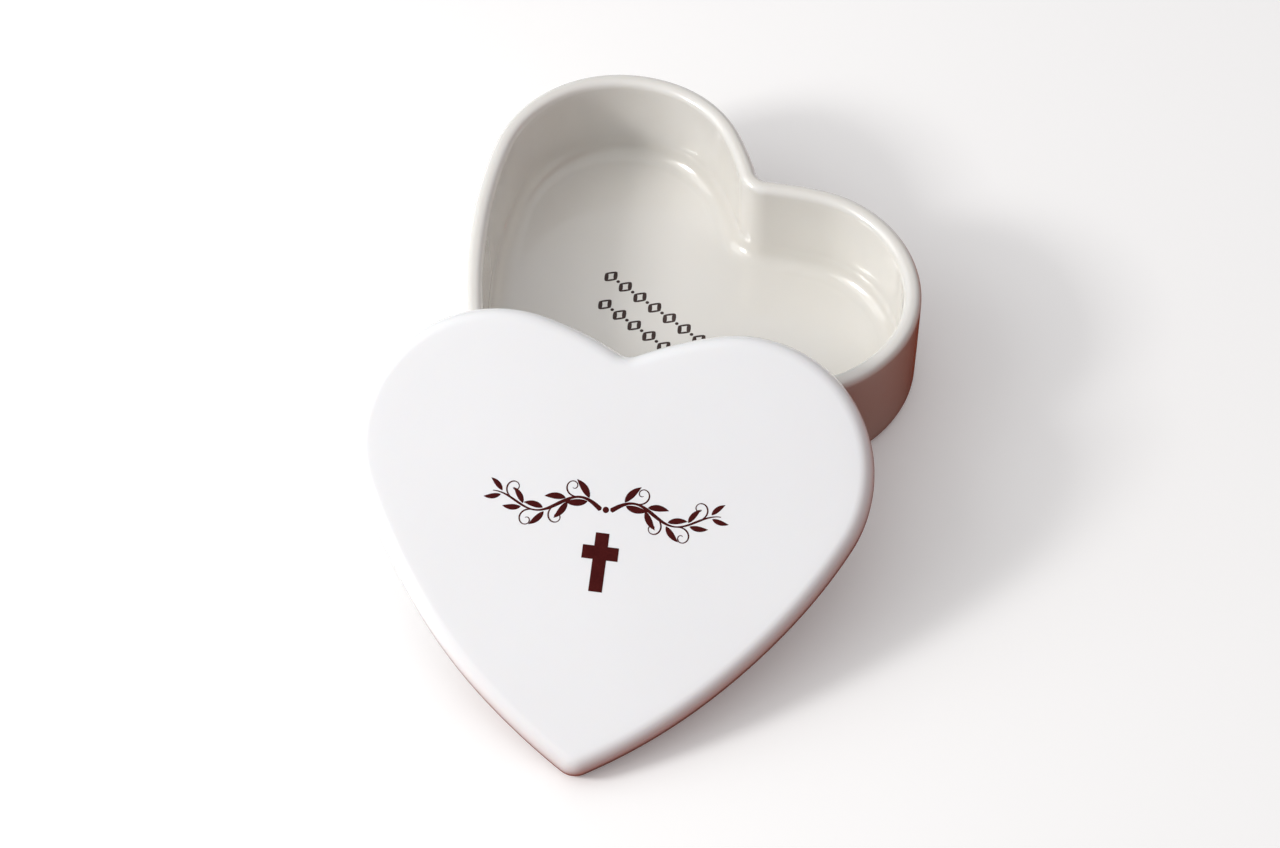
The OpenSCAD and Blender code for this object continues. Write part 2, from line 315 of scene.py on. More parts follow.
@dataclass
class Profile:
    """Stations of a shell's section: inset, height, share of the way out from the middle, whether
    it follows the inside wall, and the three masks."""

    rows: list[np.ndarray] = field(default_factory=list)

    def add(
        self,
        inset: np.ndarray | float,
        height: np.ndarray | float,
        share: np.ndarray | float = 1.0,
        inner: bool = False,
        edge: np.ndarray | float = 0.0,
        pool: np.ndarray | float = 0.0,
        dry: np.ndarray | float = 0.0,
    ) -> "Profile":
        """Adds stations, each value one number or one array along them."""
        parts = np.broadcast_arrays(inset, height, share, float(inner), edge, pool, dry)
        self.rows.append(np.stack(parts, -1).reshape(-1, len(parts)).astype(float))
        return self

    def quarter(
        self,
        centre: tuple[float, float],
        r: float,
        first: float,
        last: float,
        count: int = 9,
        inner: bool = False,
        **masks: float,
    ) -> "Profile":
        """Adds a rounded edge: centre plus r times the unit vector from one angle to another.

        Args:
            centre: inset and height of the edge's middle.
            r: its radius.
            first: the first angle in degrees, where 0 points inwards and 90 up.
            last: the last angle.
            count: how many stations it takes.
            inner: whether it follows the inside wall.
            masks: the height of a mask's hump over the edge, by the mask's name.

        Returns:
            The profile, for more stations.
        """
        t = np.linspace(0, 1, count)
        spot = np.array(centre) + r * unit(first + t * (last - first))
        humps = {name: top * np.sin(math.pi * t) for name, top in masks.items()}
        return self.add(spot[:, 0], spot[:, 1], inner=inner, **humps)

    def loft(
        self, outline: HeartOutline, well: HeartOutline, hand: Hand, floor: float, full: float
    ) -> Skin:
        """Carries the outlines along the stations and closes both ends at the middle.

        Args:
            outline: the heart that the outer stations follow.
            well: the heart that the inner stations follow.
            hand: the unevenness put on the surface.
            floor: height at which the surface keeps level.
            full: height from which the whole unevenness shows.

        Returns:
            The closed shell with its masks.
        """
        inset, height, share, inner, *masks = np.concatenate(self.rows).T
        inner = inner > 0.5
        flat = np.where(inner[:, None, None], well.rings(inset, inner), outline.rings(inset, inner))
        flat = flat * share[:, None, None]
        rings = np.concatenate([flat, np.broadcast_to(height[:, None, None], (*flat.shape[:2], 1))], -1)
        poles = np.array([[0, 0, height[0]], [0, 0, height[-1]]])
        rings = hand.applied(rings, floor, full)
        poles = hand.applied(poles, floor, full)
        made = skin(rings, poles[0], poles[1])
        for mask, values in zip(Mask, masks):
            along = np.repeat(values, rings.shape[1])
            made.masks[mask] = np.concatenate([along, [values[0], values[-1]]])
        return made


MIDDLE_SHARES = np.array([0.04, 0.09, 0.16, 0.24, 0.33, 0.42, 0.51, 0.6, 0.69, 0.78, 0.87, 0.94])


# --------------------------------------------------------------------------------------------------
# Fired-on prints
# --------------------------------------------------------------------------------------------------


@dataclass(frozen=True)
class Brush:
    """Lays thin domed strokes of colour. They stand a little above the glaze and sink into it."""

    rise: float = 0.07 * MM
    sink: float = 0.12 * MM
    around: int = 10

    def stroke(self, path: np.ndarray, width: np.ndarray) -> Skin:
        """A stroke along a path: across it, half the width times the cosine of an angle, and above
        it the rise times the sine, or the sink times the sine on the lower half.

        Args:
            path: points in the plane, shaped (n, 2).
            width: the stroke's width at each point.

        Returns:
            The closed stroke, with its height about z = 0.
        """
        way = np.gradient(path, axis=0)
        way /= np.linalg.norm(way, axis=1, keepdims=True)
        across = np.stack([-way[:, 1], way[:, 0]], -1)
        angle = 2 * math.pi * np.arange(self.around) / self.around
        spread = path[:, None] + (width[:, None] / 2 * np.cos(angle))[..., None] * across[:, None]
        slim = np.minimum(1, width / (4 * self.rise))
        lift = np.where(np.sin(angle) > 0, self.rise, self.sink) * np.sin(angle)
        rings = np.concatenate([spread, (slim[:, None] * lift)[..., None]], -1)
        ends = [np.append(path[k] + way[k] * s * width[k] / 4, 0) for k, s in ((0, -1), (-1, 1))]
        return skin(rings, ends[0], ends[1])

    def patch(self, outline: np.ndarray, soft: float) -> Skin:
        """A flat patch inside an outline that its own middle sees all of: the outline drawn in
        towards the middle by shares, rising over its soft edge.

        Args:
            outline: the patch's points in the plane, once round.
            soft: share of the way in over which the edge rises.

        Returns:
            The closed patch, with its height about z = 0.
        """
        middle = outline.mean(0)
        share = np.array([0.5, 0.97, 1, 1 - soft / 3, 1 - soft, 0.45])
        height = np.array([-self.sink, -self.sink, 0, self.rise * 0.8, self.rise, self.rise])
        flat = middle + (outline - middle) * share[:, None, None]
        rings = np.concatenate([flat, np.broadcast_to(height[:, None, None], (*flat.shape[:2], 1))], -1)
        return skin(rings, np.append(middle, -self.sink), np.append(middle, self.rise))


def lens(t: np.ndarray, fullness: float = 0.8) -> np.ndarray:
    """Width of a leaf along its length: the sine of half a turn, to a power."""
    return np.sin(math.pi * np.clip(t, 0.01, 0.99)) ** fullness


@dataclass(frozen=True)
class Vine:
    """A mirrored vine with leaf pairs and tendrils, on a wavy stem that fades towards its ends."""

    y: float = 8 * MM
    half: float = 27 * MM
    wave: float = 2.6 * MM
    waves: float = 1.25
    fade: float = 0.35
    stem_w: float = 0.95 * MM
    thin: float = 0.66
    leaf_l: float = 5.6 * MM
    leaf_w: float = 1.75 * MM
    leaf_turn: float = 42
    leaf_bend: float = 26
    leaf_gap: float = 0.5 * MM
    pairs: int = 5
    tendril_r: float = 1.7 * MM
    tendril_w: float = 0.42 * MM
    tendril_turns: float = 1.15
    bud_r: float = 0.8 * MM
    start: float = 1.4 * MM
    near: float = 0.002
    leaf_late: float = 0.02
    leaf_shrink: float = 0.06
    leaf_skew: float = 0.85
    tendril_late: float = 0.015
    tendril_wind: float = 1.25
    tendril_slow: float = 1.35
    tendril_thin: float = 0.55
    upward: tuple[int, ...] = (0, 3)
    swell: float = 0.28

    def stem(self, part: np.ndarray) -> np.ndarray:
        """The stem's middle line: a sine wave that dies away from the middle outwards."""
        rise = self.wave * np.sin(2 * math.pi * self.waves * part) * (1 - self.fade * part)
        return np.stack([self.start + self.half * part, self.y + rise], -1)

    def heading(self, part: float) -> float:
        """Direction of the stem at one place, in degrees."""
        near = self.stem(np.array([part - self.near, part + self.near]))
        return float(np.degrees(np.arctan2(*(near[1] - near[0])[::-1])))

    def leaf(self, part: float, way: int, scale: float) -> tuple[np.ndarray, np.ndarray]:
        """Path and width of a leaf that springs from the stem and curves back along it."""
        t = np.linspace(0, 1, 18)
        start = self.stem(np.array(part)) + way * self.leaf_gap * unit(self.heading(part) + 90)
        turn = self.heading(part) + way * (self.leaf_turn - self.leaf_bend * t)
        step = unit(turn) * self.leaf_l * scale / (len(t) - 1)
        path = start + np.cumsum(step, 0) - step[0]
        return path, self.leaf_w * scale * lens(t**self.leaf_skew)

    def tendril(self, part: float, way: int) -> tuple[np.ndarray, np.ndarray]:
        """Path and width of a tendril: it leaves along the stem and winds up as a spiral."""
        t = np.linspace(0, 1, 44)
        turn = self.heading(part) + way * 360 * self.tendril_turns * t**self.tendril_wind
        reach = self.tendril_r * 2 * math.pi * self.tendril_turns
        step = unit(turn) * (reach * (self.tendril_slow - t) / len(t))[:, None]
        path = self.stem(np.array(part)) + np.cumsum(step, 0) - step[0]
        pressed = 0.85 + 0.3 * np.sin(2 * math.pi * t) ** 2
        return path, self.tendril_w * (1 - self.tendril_thin * t) * pressed

    def strokes(self) -> list[tuple[np.ndarray, np.ndarray]]:
        """Every stroke of the right half."""
        part = np.linspace(0, 1, 120)
        swell = 1 + self.swell * np.cos(4 * math.pi * self.waves * part)
        width = self.stem_w * (1 - self.thin * part) * swell
        found = [(self.stem(part), width)]
        for k in range(self.pairs):
            at = (0.5 + k) / (4 * self.waves) + self.leaf_late
            found += [self.leaf(at, way, 1 - self.leaf_shrink * k) for way in (1, -1)]
        for k in range(self.pairs - 1):
            at = (1 + k) / (4 * self.waves) + self.tendril_late
            found.append(self.tendril(at, 1 if k in self.upward else -1))
        return found

    def skin(self, brush: Brush) -> Skin:
        """Both halves and the bud in the middle, as one surface about z = 0."""
        right = [brush.stroke(p, w) for p, w in self.strokes()]
        left = [brush.stroke(p * [-1, 1], w) for p, w in self.strokes()]
        bud = np.array([0, self.y]) + self.bud_r * unit(-np.arange(0, 360, 15))
        return joined(right + left + [brush.patch(bud, 0.5)])


@dataclass(frozen=True)
class Cross:
    """A plain cross with straight bars."""

    top: float = 2.2 * MM
    height: float = 14.7 * MM
    span: float = 9 * MM
    bar: float = 3.4 * MM
    drop: float = 5 * MM
    soft: float = 0.05 * MM
    core: float = 0.3

    def skin(self, brush: Brush) -> Skin:
        """The cross as one patch about its crossing: its outline moved in by small steps.

        Each corner moves in by the same distance along both axes, so the edges stay parallel.
        """
        near = self.bar / 2
        far = self.span / 2
        centre = self.top - self.drop
        half = np.array(
            [
                [near, self.top],
                [near, centre + near],
                [far, centre + near],
                [far, centre - near],
                [near, centre - near],
                [near, self.top - self.height],
            ]
        )
        outline = np.concatenate([half, half[::-1] * [-1, 1]])
        outward = np.array([[1, 1], [1, 1], [1, 1], [1, -1], [1, -1], [1, -1]])
        outward = np.concatenate([outward, outward[::-1] * [-1, 1]])
        deep = self.core * self.bar
        inset = np.array([deep, 0, 0, self.soft / 3, self.soft, deep])
        height = np.array([-brush.sink, -brush.sink, 0, 0.8 * brush.rise, brush.rise, brush.rise])
        flat = outline - inset[:, None, None] * outward
        rings = np.concatenate([flat, np.broadcast_to(height[:, None, None], (*flat.shape[:2], 1))], -1)
        middle = np.array([0, centre])
        return skin(rings, np.append(middle, -brush.sink), np.append(middle, brush.rise))


@dataclass(frozen=True)
class OrnamentRows:
    """Two rows of open lozenges with a dot in each space, in place of any lettering."""

    y: float = 5.3 * MM
    gap: float = 8.2 * MM
    pitch: float = 5.4 * MM
    tall: float = 4 * MM
    wide: float = 3.1 * MM
    thick: float = 1.15 * MM
    fine: float = 0.62 * MM
    dot_r: float = 0.5 * MM
    counts: tuple[int, int] = (9, 7)

    def lozenge(self, at: np.ndarray, brush: Brush) -> list[Skin]:
        """Four strokes from corner to corner, two thick and two fine."""
        high, side = self.tall / 2, self.wide / 2
        corners = np.array([[0, high], [side, 0], [0, -high], [-side, 0]])
        t = np.linspace(0, 1, 9)[:, None]
        made = []
        for k in range(4):
            a, b = corners[k], corners[(k + 1) % 4]
            full = self.thick if k % 2 == 0 else self.fine
            made.append(brush.stroke(at + a + (b - a) * t, full * (0.7 + 0.3 * lens(t[:, 0]))))
        return made

    def dot(self, at: np.ndarray, brush: Brush) -> Skin:
        """A round patch."""
        return brush.patch(at + self.dot_r * unit(-360 * np.arange(20) / 20), 0.3)

    def skin(self, brush: Brush) -> Skin:
        """Both rows, as one surface about z = 0."""
        parts = []
        for count, way in zip(self.counts, (1, -1)):
            y = self.y + way * self.gap / 2
            xs = (np.arange(count) - (count - 1) / 2) * self.pitch
            for x in xs:
                parts += self.lozenge(np.array([x, y]), brush)
            parts += [self.dot(np.array([x + self.pitch / 2, y]), brush) for x in xs[:-1]]
        return joined(parts)


# --------------------------------------------------------------------------------------------------
# Finishes
# --------------------------------------------------------------------------------------------------


class Graph:
    """A node tree with short calls to add and join nodes."""

    def __init__(self, tree: bpy.types.NodeTree) -> None:
        """Keeps the tree."""
        self.tree = tree

    def node(self, kind: str, **settings: object) -> bpy.types.Node:
        """Adds a node of a kind and sets its own properties."""
        made = self.tree.nodes.new(kind)
        for name, value in settings.items():
            setattr(made, name, value)
        return made

    def join(self, start: Socket, end: Socket) -> None:
        """Links an output to an input."""
        self.tree.links.new(start, end)

    def math(self, operation: str, a: Socket | float, b: Socket | float) -> Socket:
        """The result of an operation on two terms, each a socket or a number."""
        made = self.node("ShaderNodeMath", operation=operation)
        for socket, term in zip(made.inputs, (a, b)):
            if isinstance(term, (int, float)):
                socket.default_value = term
            else:
                self.join(term, socket)
        return made.outputs[0]

    def ramp(
        self, value: Socket, low: float, high: float, to: tuple[float, float] = (0, 1)
    ) -> Socket:
        """A smooth step of a value between two limits, to a range of its own."""
        made = self.node("ShaderNodeMapRange", interpolation_type="SMOOTHSTEP")
        self.join(value, made.inputs["Value"])
        for name, number in zip(("From Min", "From Max", "To Min", "To Max"), (low, high, *to)):
            made.inputs[name].default_value = number
        return made.outputs["Result"]

    def mix(self, share: Socket, a: Socket | Colour, b: Socket | Colour) -> Socket:
        """A colour between two, by a share."""
        made = self.node("ShaderNodeMix", data_type="RGBA")
        self.join(share, made.inputs["Factor"])
        for socket, colour in ((made.inputs[6], a), (made.inputs[7], b)):
            if isinstance(colour, tuple):
                socket.default_value = (*colour, 1)
            else:
                self.join(colour, socket)
        return made.outputs[2]

    def noise(self, place: Socket, scale: float, detail: float) -> Socket:
        """Smooth noise of a place, from 0 to 1."""
        made = self.node("ShaderNodeTexNoise")
        self.join(place, made.inputs["Vector"])
        made.inputs["Scale"].default_value = scale
        made.inputs["Detail"].default_value = detail
        return made.outputs["Fac"]


def new_group(name: str, takes: dict[str, float], gives: tuple[str, ...]) -> bpy.types.NodeTree:
    """Makes an empty node group.

    Args:
        name: the group's name.
        takes: its numeric inputs with their defaults, after one vector input called Place.
        gives: its numeric outputs.

    Returns:
        The group, with its input and output nodes in it.
    """
    group = bpy.data.node_groups.new(name, "ShaderNodeTree")
    group.interface.new_socket("Place", in_out="INPUT", socket_type="NodeSocketVector")
    for label, value in takes.items():
        socket = group.interface.new_socket(label, in_out="INPUT", socket_type="NodeSocketFloat")
        socket.default_value = value
    for label in gives:
        group.interface.new_socket(label, in_out="OUTPUT", socket_type="NodeSocketFloat")
    group.nodes.new("NodeGroupInput")
    group.nodes.new("NodeGroupOutput")
    return group


@dataclass(frozen=True)
class Spots:
    """Rare round spots: one in a few cells only. The size of a spot is a share of its cell's."""

    label: str
    cells: float
    full: float
    edge: float


GLAZE_SPOTS = (Spots("Speck", 105, 0.03, 0.055), Spots("Pin", 150, 0.03, 0.07))
TONE_SCALE = 22
SWELL_SCALE = 85
PEEL_SCALE = 420
PEEL_SHARE = 0.22


def cast_glaze_group() -> bpy.types.NodeTree:
    """The look of clear glaze on cast ware, as numbers over the surface.

    Tone is broad and soft, where the glaze lies thicker or thinner. Ripple is its faint orange peel.
    Speck marks the rare dark fleck, and Pin the rare pinhole.
    """
    made = bpy.data.node_groups.get("cast_glaze")
    if made:
        return made
    made = new_group("cast_glaze", {"Rarity": 0.93}, ("Tone", "Ripple", "Speck", "Pin"))
    g = Graph(made)
    inside = made.nodes["Group Input"]
    outside = made.nodes["Group Output"]
    place = inside.outputs["Place"]
    g.join(g.noise(place, TONE_SCALE, 2), outside.inputs["Tone"])
    swell = g.noise(place, SWELL_SCALE, 1)
    peel = g.math("MULTIPLY", g.noise(place, PEEL_SCALE, 2), PEEL_SHARE)
    g.join(g.math("ADD", swell, peel), outside.inputs["Ripple"])
    for spots in GLAZE_SPOTS:
        cells = g.node("ShaderNodeTexVoronoi")
        cells.inputs["Scale"].default_value = spots.cells
        g.join(place, cells.inputs["Vector"])
        apart = g.node("ShaderNodeSeparateColor")
        g.join(cells.outputs["Color"], apart.inputs["Color"])
        rare = g.math("GREATER_THAN", apart.outputs["Red"], inside.outputs["Rarity"])
        spot = g.ramp(cells.outputs["Distance"], spots.edge, spots.full)
        g.join(g.math("MULTIPLY", rare, spot), outside.inputs[spots.label])
    return made


def placed_group(g: Graph, group: bpy.types.NodeTree) -> bpy.types.Node:
    """Puts a node group in a material, reading Object coordinates."""
    made = g.node("ShaderNodeGroup", node_tree=group)
    place = g.node("ShaderNodeTexCoord")
    g.join(place.outputs["Object"], made.inputs["Place"])
    return made


def new_material(name: str) -> tuple[bpy.types.Material, Graph, bpy.types.Node]:
    """An empty material with its shader: the material, its graph and its Principled BSDF."""
    made = bpy.data.materials.new(name)
    made.use_nodes = True
    return made, Graph(made.node_tree), made.node_tree.nodes["Principled BSDF"]


@dataclass(frozen=True)
class GlazeFinish:
    """Clear gloss glaze over a white body, with a dry wiped foot."""

    slot: Slot
    colour: Colour
    thick: Colour
    thin: Colour
    bisque: Colour = (0.74, 0.7, 0.63)
    fleck: Colour = (0.3, 0.25, 0.21)
    roughness: float = 0.16
    dry_roughness: float = 0.78
    coat_roughness: float = 0.03
    peel: float = 0.35 * MM
    rarity: float = 0.97
    tone_range: tuple[float, float] = (0.32, 0.7)
    tone_share: float = 0.5
    pool_share: float = 0.8
    edge_share: float = 0.6
    ior: float = 1.5
    depth_share: float = 0.12
    depth: float = 2 * MM
    depth_colour: Colour = (0.9, 0.75, 0.6)
    bump: float = 0.12

    def material(self) -> bpy.types.Material:
        """Builds the material: tone and masks mix its colours, and the dry foot loses its gloss."""
        made, g, shader = new_material(self.slot.value)
        glaze = placed_group(g, cast_glaze_group())
        glaze.inputs["Rarity"].default_value = self.rarity
        masks = {}
        for mask in Mask:
            node = g.node("ShaderNodeAttribute", attribute_name=mask.value)
            masks[mask] = node.outputs["Fac"]
        tone = g.ramp(glaze.outputs["Tone"], *self.tone_range)
        colour = g.mix(g.math("MULTIPLY", tone, self.tone_share), self.colour, self.thick)
        colour = g.mix(g.math("MULTIPLY", masks[Mask.POOL], self.pool_share), colour, self.thick)
        colour = g.mix(g.math("MULTIPLY", masks[Mask.EDGE], self.edge_share), colour, self.thin)
        colour = g.mix(glaze.outputs["Speck"], colour, self.fleck)
        colour = g.mix(masks[Mask.DRY], colour, self.bisque)
        g.join(colour, shader.inputs["Base Color"])
        rough = g.math("MULTIPLY", masks[Mask.DRY], self.dry_roughness - self.roughness)
        g.join(g.math("ADD", rough, self.roughness), shader.inputs["Roughness"])
        wet = g.math("MULTIPLY", masks[Mask.DRY], -1)
        g.join(g.math("ADD", wet, 1.0), shader.inputs["Coat Weight"])
        shader.inputs["Coat Roughness"].default_value = self.coat_roughness
        shader.inputs["IOR"].default_value = self.ior
        shader.inputs["Subsurface Weight"].default_value = self.depth_share
        shader.inputs["Subsurface Radius"].default_value = self.depth_colour
        shader.inputs["Subsurface Scale"].default_value = self.depth
        height = g.math("SUBTRACT", glaze.outputs["Ripple"], glaze.outputs["Pin"])
        bump = g.node("ShaderNodeBump")
        bump.inputs["Strength"].default_value = self.bump
        bump.inputs["Distance"].default_value = self.peel
        g.join(height, bump.inputs["Height"])
        g.join(bump.outputs["Normal"], shader.inputs["Normal"])
        return made


@dataclass(frozen=True)
class PrintFinish:
    """Fired-on colour: dense, a little uneven, and less glossy than the glaze."""

    slot: Slot
    colour: Colour
    light: Colour
    roughness: float = 0.3
    rougher: float = 0.14
    shine: float = 0.08
    grain_scale: float = 2600
    grain_range: tuple[float, float] = (0.42, 0.72)
    cloud_scale: float = 260
    cloud_range: tuple[float, float] = (0.35, 0.75)
    worn: float = 0.3
    bump: float = 0.1
    grain_depth: float = 0.05 * MM

    def material(self) -> bpy.types.Material:
        """Builds the material: fine grain thins the colour in places."""
        made, g, shader = new_material(self.slot.value)
        place = g.node("ShaderNodeTexCoord").outputs["Object"]
        grain = g.ramp(g.noise(place, self.grain_scale, 3), *self.grain_range)
        cloud = g.ramp(g.noise(place, self.cloud_scale, 2), *self.cloud_range)
        share = g.math("MULTIPLY", g.math("ADD", grain, cloud), self.worn)
        g.join(g.mix(share, self.colour, self.light), shader.inputs["Base Color"])
        rough = g.ramp(grain, 0, 1, (self.roughness, self.roughness + self.rougher))
        g.join(rough, shader.inputs["Roughness"])
        shader.inputs["Specular IOR Level"].default_value = self.shine
        bump = g.node("ShaderNodeBump")
        bump.inputs["Strength"].default_value = self.bump
        bump.inputs["Distance"].default_value = self.grain_depth
        g.join(grain, bump.inputs["Height"])
        g.join(bump.outputs["Normal"], shader.inputs["Normal"])
        return made


FINISHES: tuple[GlazeFinish | PrintFinish, ...] = (
    # The base's glaze colours are painted darker and warmer than the lid's: painted shade of its shaded
    # inside on one white glaze.
    GlazeFinish(Slot.BODY, (0.785, 0.77, 0.74), (0.755, 0.73, 0.675), (0.85, 0.845, 0.83)),
    # The lid's glaze colours are painted whiter and bluer than the base's: painted light on its top, which
    # faces the lamps.
    GlazeFinish(Slot.LID, (0.93, 0.945, 0.975), (0.915, 0.93, 0.96), (0.93, 0.935, 0.945)),
    PrintFinish(Slot.SEPIA, (0.055, 0.004, 0.004), (0.1, 0.012, 0.01)),
    PrintFinish(Slot.GREY, (0.05, 0.034, 0.032), (0.12, 0.09, 0.085)),
)


def settle(obj: bpy.types.Object, body: Body, node: str, slot: Slot) -> None:
    """Says which body a piece rides on and hides the CAD node it stands for."""
    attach(obj, body.value)
    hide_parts(node)
    LOG.info("%s: %d faces, rides on %s", obj.name, len(obj.data.polygons), body.value)


# --------------------------------------------------------------------------------------------------
# Sub-assemblies
# --------------------------------------------------------------------------------------------------


@dataclass
class BoxBase:
    """The open base: foot, wall, rounded rim, well and the print on its floor."""

    outline: HeartOutline
    height: float
    floor: float
    finishes: dict[Slot, bpy.types.Material]
    hand: Hand = field(default_factory=Hand)
    brush: Brush = field(default_factory=Brush)
    rows: OrnamentRows = field(default_factory=OrnamentRows)
    rim_r: float = 2.1 * MM
    fillet: float = 5.5 * MM
    foot_r: float = 3 * MM
    foot_inner: float = 10.5 * MM
    foot_rise: float = 0.9 * MM
    foot_in: float = 0.6 * MM
    foot_out: float = 0.4 * MM
    recess: float = 0.8 * MM
    rim_wear: float = 0.8
    foot_wear: float = 0.3
    recess_pool: float = 0.5
    floor_pool: float = 0.9

    def profile(self) -> Profile:
        """From the middle of the underside, round the foot, up the wall, over the rim and in."""
        wall, rim, top = self.outline.wall, self.rim_r, self.height
        made = Profile()
        under = self.foot_inner + self.foot_rise
        made.add(under, self.recess, MIDDLE_SHARES)
        t = np.linspace(0, 1, 7)
        slope = self.recess * (1 + np.cos(math.pi * t)) / 2
        pool = self.recess_pool * (1 - t)
        made.add(under - self.foot_rise * t, slope, pool=pool, dry=np.clip(3 * t - 1.6, 0, 1))
        made.add(np.linspace(self.foot_inner - self.foot_in, self.foot_r + self.foot_out, 6), 0, dry=1)
        t = np.linspace(0, 1, 10)
        spot = self.foot_r * (1 + unit(-90 - 90 * t))
        wear = self.foot_wear * np.sin(math.pi * t)
        made.add(spot[:, 0], spot[:, 1], dry=np.clip(1.6 - 5 * t, 0, 1), edge=wear)
        made.add(0, np.linspace(self.foot_r, top - rim, 16)[1:-1])
        made.quarter((rim, top - rim), rim, 180, 90, 10, edge=self.rim_wear)
        made.quarter((wall - rim, top - rim), rim, 90, 0, 10, inner=True, edge=self.rim_wear)
        made.add(wall, np.linspace(top - rim, self.floor + self.fillet, 14)[1:-1], inner=True)
        centre = (wall + self.fillet, self.floor + self.fillet)
        made.quarter(centre, self.fillet, 180, 270, 16, inner=True, pool=self.floor_pool)
        made.add(wall + self.fillet, self.floor, MIDDLE_SHARES[::-1], inner=True)
        return made

    def build(self) -> None:
        """Makes the shell and the print, and puts them on their body."""
        shell = self.profile().loft(self.outline, self.outline, self.hand, 0, self.floor)
        settle(shell.object("ceramic_base", self.finishes[Slot.BODY]), Body.BASE, "base", Slot.BODY)
        rows = self.rows.skin(self.brush)
        rows.points += self.floor * UP
        rows.points = self.hand.applied(rows.points, 0, self.floor)
        made = rows.object("floor_print", self.finishes[Slot.GREY])
        settle(made, Body.BASE, "floor_ornament", Slot.GREY)


@dataclass(frozen=True)
class LidPlace:
    """Where the leaning lid is: its middle and its own three axes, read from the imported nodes."""

    origin: np.ndarray
    axes: np.ndarray

    @staticmethod
    def from_nodes(thickness: float) -> "LidPlace":
        """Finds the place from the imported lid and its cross.

        The cross is a flat plate, the same on both sides of the lid's middle line, so the principal
        axes of its corners are the lid's axes. The lid's extents along them give its middle.

        Args:
            thickness: how far the top lies above the lid's own level.

        Returns:
            The lid's place.
        """
        corners = np.unique(node_points("lid_cross").round(7), axis=0)
        spread = np.linalg.eigh(np.cov(corners.T))[1]
        z, x, y = spread.T
        z = z * np.sign(z[2])
        y = y * np.sign(y[2])
        x = np.cross(y, z)
        axes = np.stack([x, y, z])
        local = node_points("lid") @ axes.T
        low, high = local.min(0), local.max(0)
        middle = np.array([(low[0] + high[0]) / 2, (low[1] + high[1]) / 2, high[2] - thickness])
        return LidPlace(middle @ axes, axes)

    def placed(self, points: np.ndarray) -> np.ndarray:
        """Points of the lid's own frame in the part's frame."""
        return self.origin + points @ self.axes


def node_points(node: str) -> np.ndarray:
    """The vertices of a CAD node as an array."""
    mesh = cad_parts[node].data
    found = np.zeros(len(mesh.vertices) * 3, np.float32)
    mesh.vertices.foreach_get("co", found)
    return found.reshape(-1, 3).astype(float)


@dataclass
class LeaningLid:
    """The loose lid: plate, rounded edges, locating flange, hollow and its two prints."""

    outline: HeartOutline
    well: HeartOutline
    finishes: dict[Slot, bpy.types.Material]
    hand: Hand = field(default_factory=lambda: Hand(reach=0.14 * MM, wave=52 * MM, phase=1.9))
    brush: Brush = field(default_factory=Brush)
    vine: Vine = field(default_factory=Vine)
    cross: Cross = field(default_factory=Cross)
    thickness: float = 7.5 * MM
    top_r: float = 4.2 * MM
    under_r: float = 1.2 * MM
    flange_h: float = 3 * MM
    flange_t: float = 3.6 * MM
    flange_gap: float = 0.9 * MM
    flange_r: float = 0.8 * MM
    hollow_h: float = 1.5 * MM
    hollow_r: float = 1.5 * MM
    corner_h: float = 0.4 * MM
    top_wear: float = 0.5
    under_wear: float = 0.6
    corner_pool: float = 0.8

    def profile(self) -> Profile:
        """From the middle of the top, over the edge, in under it, round the flange to the hollow."""
        root = self.outline.wall + self.flange_gap
        bore = root + self.flange_t
        foot = self.flange_r - self.flange_h
        made = Profile()
        made.add(self.top_r, self.thickness, MIDDLE_SHARES)
        centre = (self.top_r, self.thickness - self.top_r)
        made.quarter(centre, self.top_r, 90, 180, 18, edge=self.top_wear)
        made.add(0, np.linspace(self.thickness - self.top_r, self.under_r, 5)[1:-1])
        centre = (self.under_r, self.under_r)
        made.quarter(centre, self.under_r, 180, 270, 8, edge=self.under_wear)
        made.add(np.linspace(self.under_r, root, 5)[1:-1], 0)
        made.add(root, np.array([0, -self.corner_h]), inner=True, pool=self.corner_pool)
        t = np.linspace(0, 1, 6)
        spot = np.array([root + self.flange_r, foot]) + self.flange_r * unit(180 + 90 * t)
        made.add(spot[:, 0], spot[:, 1], inner=True, dry=np.clip(3 * t - 1.5, 0, 1))
        spot = np.array([bore - self.flange_r, foot]) + self.flange_r * unit(270 + 90 * t)
        made.add(spot[:, 0], spot[:, 1], inner=True, dry=np.clip(1.5 - 3 * t, 0, 1))
        centre = (bore + self.hollow_r, self.hollow_h - self.hollow_r)
        made.quarter(centre, self.hollow_r, 180, 90, 9, inner=True, pool=self.corner_pool)
        made.add(bore + self.hollow_r, self.hollow_h, MIDDLE_SHARES[::-1], inner=True)
        return made

    def build(self) -> None:
        """Makes the plate and its prints in the lid's own frame, then leans them on the base."""
        place = LidPlace.from_nodes(self.thickness)
        low = -self.flange_h
        plate = self.profile().loft(self.outline, self.well, self.hand, low, self.thickness)
        plate.points = place.placed(plate.points)
        settle(plate.object("ceramic_lid", self.finishes[Slot.LID]), Body.LID, "lid", Slot.LID)
        for name, node, print_ in (
            ("vine_print", "lid_vine", self.vine.skin(self.brush)),
            ("cross_print", "lid_cross", self.cross.skin(self.brush)),
        ):
            print_.points += self.thickness * UP
            print_.points = place.placed(self.hand.applied(print_.points, low, self.thickness))
            settle(print_.object(name, self.finishes[Slot.SEPIA]), Body.LID, node, Slot.SEPIA)


# --------------------------------------------------------------------------------------------------
# Studio
# --------------------------------------------------------------------------------------------------


